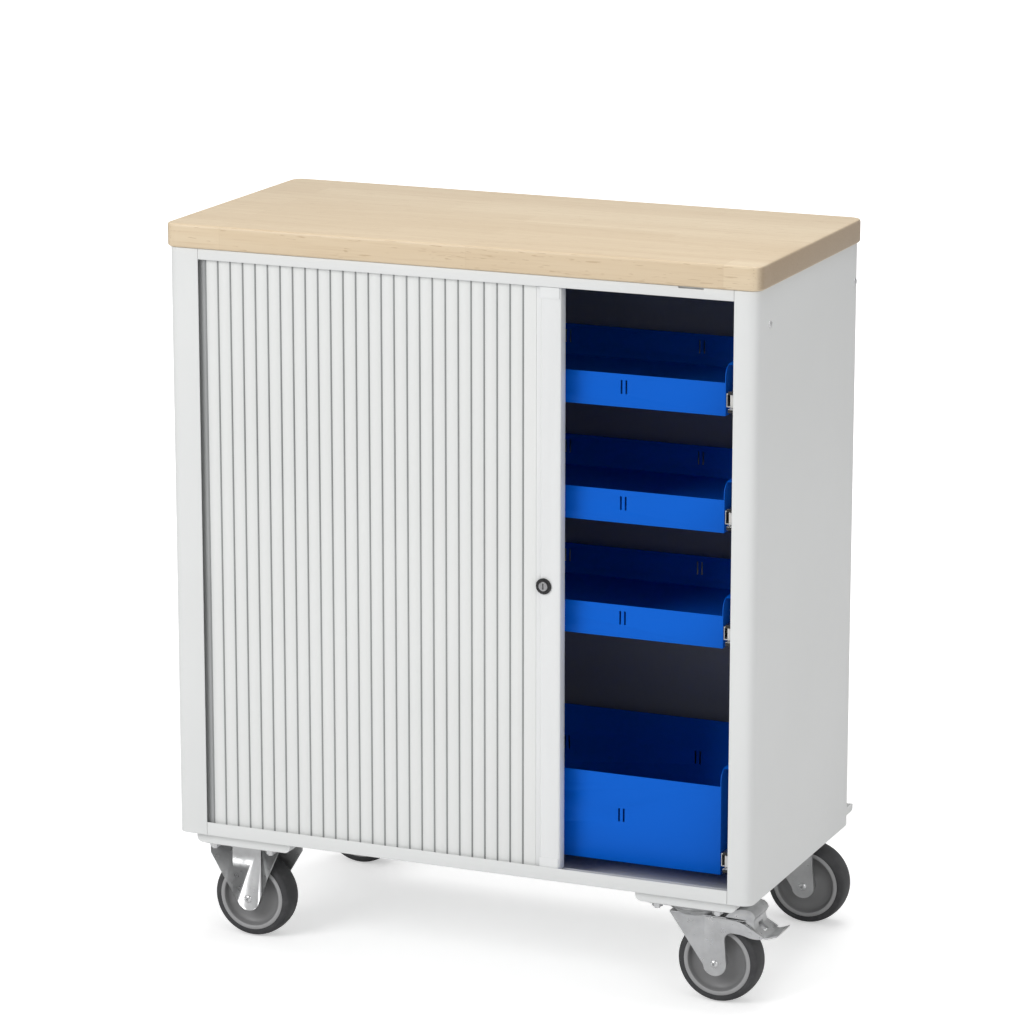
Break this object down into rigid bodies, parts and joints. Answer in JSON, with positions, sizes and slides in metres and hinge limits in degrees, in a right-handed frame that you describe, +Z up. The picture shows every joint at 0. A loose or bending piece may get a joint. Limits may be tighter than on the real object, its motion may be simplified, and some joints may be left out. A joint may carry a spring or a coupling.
{
  "type": "tool cart",
  "caption": "Rolling steel cabinet with a sideways roller shutter, sliding trays and a wooden worktop on fixed and swivel casters.",
  "frame": {"origin": "on the floor under the middle of the whole cart's box", "axes": "+X to the right seen from the shutter side, +Y to the back, +Z up"},
  "size_m": [0.7654, 0.4256, 0.8773],
  "materials": {
    "body_enamel": "satin light grey white enamel",
    "worktop_wood": "clear oiled beech",
    "track_plastic": "grey moulded track",
    "slat_plastic": "fine satin white slats",
    "rail_aluminium": "white coated profile",
    "lock_black": "black bezel",
    "lock_steel": "nickel plated core",
    "tray_enamel": "satin vivid blue enamel",
    "runner_steel": "zinc plated rolled steel",
    "caster_steel": "zinc plated pressed steel",
    "wheel_plastic": "grey moulded core",
    "tyre_rubber": "dark grey solid tread"
  },
  "bodies": {
    "cart": {"side_panel_left": "body_enamel", "side_panel_right": "body_enamel", "floor_panel": "body_enamel", "top_panel": "body_enamel", "back_panel": "body_enamel", "inner_wall_left": "body_enamel", "inner_wall_right": "body_enamel", "inner_wall_back": "body_enamel", "caster_channel_left": "body_enamel", "caster_channel_right": "body_enamel", "worktop": "worktop_wood", "shutter_track_lower": "track_plastic", "shutter_track_upper": "track_plastic", "cabinet_runner_upper_left": "runner_steel", "cabinet_runner_upper_right": "runner_steel", "cabinet_runner_middle_left": "runner_steel", "cabinet_runner_middle_right": "runner_steel", "cabinet_runner_lower_left": "runner_steel", "cabinet_runner_lower_right": "runner_steel", "cabinet_runner_deep_left": "runner_steel", "cabinet_runner_deep_right": "runner_steel", "caster_front_left_fork": "caster_steel", "caster_front_left_axle": "caster_steel", "caster_rear_left_fork": "caster_steel", "caster_rear_left_axle": "caster_steel", "caster_front_right_swivel_plate": "caster_steel", "caster_rear_right_swivel_plate": "caster_steel"},
    "shutter": {"shutter_curtain": "slat_plastic", "shutter_rail": "rail_aluminium", "lock_barrel": "lock_black"},
    "lock": {"lock_core": "lock_steel"},
    "front_left_wheel": {"caster_front_left_wheel_core": "wheel_plastic", "caster_front_left_tyre": "tyre_rubber"},
    "rear_left_wheel": {"caster_rear_left_wheel_core": "wheel_plastic", "caster_rear_left_tyre": "tyre_rubber"},
    "front_right_swivel": {"caster_front_right_fork": "caster_steel", "caster_front_right_axle": "caster_steel"},
    "front_right_wheel": {"caster_front_right_wheel_core": "wheel_plastic", "caster_front_right_tyre": "tyre_rubber"},
    "front_right_pedal": {"caster_front_right_brake_pedal": "caster_steel"},
    "rear_right_swivel": {"caster_rear_right_fork": "caster_steel", "caster_rear_right_axle": "caster_steel"},
    "rear_right_wheel": {"caster_rear_right_wheel_core": "wheel_plastic", "caster_rear_right_tyre": "tyre_rubber"},
    "drawer_upper": {"tray_upper": "tray_enamel", "tray_runner_upper_left": "runner_steel", "tray_runner_upper_right": "runner_steel"},
    "drawer_middle": {"tray_middle": "tray_enamel", "tray_runner_middle_left": "runner_steel", "tray_runner_middle_right": "runner_steel"},
    "drawer_lower": {"tray_lower": "tray_enamel", "tray_runner_lower_left": "runner_steel", "tray_runner_lower_right": "runner_steel"},
    "drawer_deep": {"tray_deep": "tray_enamel", "tray_runner_deep_left": "runner_steel", "tray_runner_deep_right": "runner_steel"}
  },
  "joints": [
    {"name": "shutter_slide", "type": "slide", "parent": "cart", "child": "shutter", "axis": [1, 0, 0], "range_m": [-0.415, 0.204], "deforming": ["shutter_curtain"]},
    {"name": "lock_turn", "type": "hinge", "parent": "shutter", "child": "lock", "pos_m": [0.0945, -0.20075, 0.489], "axis": [0, -1, 0], "range_deg": [0, 90]},
    {"name": "drawer_upper_slide", "type": "slide", "parent": "cart", "child": "drawer_upper", "axis": [0, -1, 0], "range_m": [0, 0.012]},
    {"name": "drawer_middle_slide", "type": "slide", "parent": "cart", "child": "drawer_middle", "axis": [0, -1, 0], "range_m": [0, 0.012]},
    {"name": "drawer_lower_slide", "type": "slide", "parent": "cart", "child": "drawer_lower", "axis": [0, -1, 0], "range_m": [0, 0.012]},
    {"name": "drawer_deep_slide", "type": "slide", "parent": "cart", "child": "drawer_deep", "axis": [0, -1, 0], "range_m": [0, 0.012]},
    {"name": "front_left_wheel_spin", "type": "hinge", "parent": "cart", "child": "front_left_wheel", "pos_m": [-0.306, -0.14575, 0.05], "axis": [0, 1, 0], "continuous": true},
    {"name": "rear_left_wheel_spin", "type": "hinge", "parent": "cart", "child": "rear_left_wheel", "pos_m": [-0.306, 0.16025, 0.05], "axis": [0, 1, 0], "continuous": true},
    {"name": "front_right_swivel_turn", "type": "hinge", "parent": "cart", "child": "front_right_swivel", "pos_m": [0.264, -0.14575, 0.1], "axis": [0, 0, 1], "continuous": true},
    {"name": "front_right_wheel_spin", "type": "hinge", "parent": "front_right_swivel", "child": "front_right_wheel", "pos_m": [0.293, -0.14575, 0.05], "axis": [0, 1, 0], "continuous": true},
    {"name": "rear_right_swivel_turn", "type": "hinge", "parent": "cart", "child": "rear_right_swivel", "pos_m": [0.264, 0.16025, 0.1], "axis": [0, 0, 1], "continuous": true},
    {"name": "rear_right_wheel_spin", "type": "hinge", "parent": "rear_right_swivel", "child": "rear_right_wheel", "pos_m": [0.293, 0.16025, 0.05], "axis": [0, 1, 0], "continuous": true},
    {"name": "front_right_pedal_press", "type": "hinge", "parent": "front_right_swivel", "child": "front_right_pedal", "pos_m": [0.336, -0.14575, 0.092], "axis": [0, 1, 0], "range_deg": [0, 12]}
  ]
}
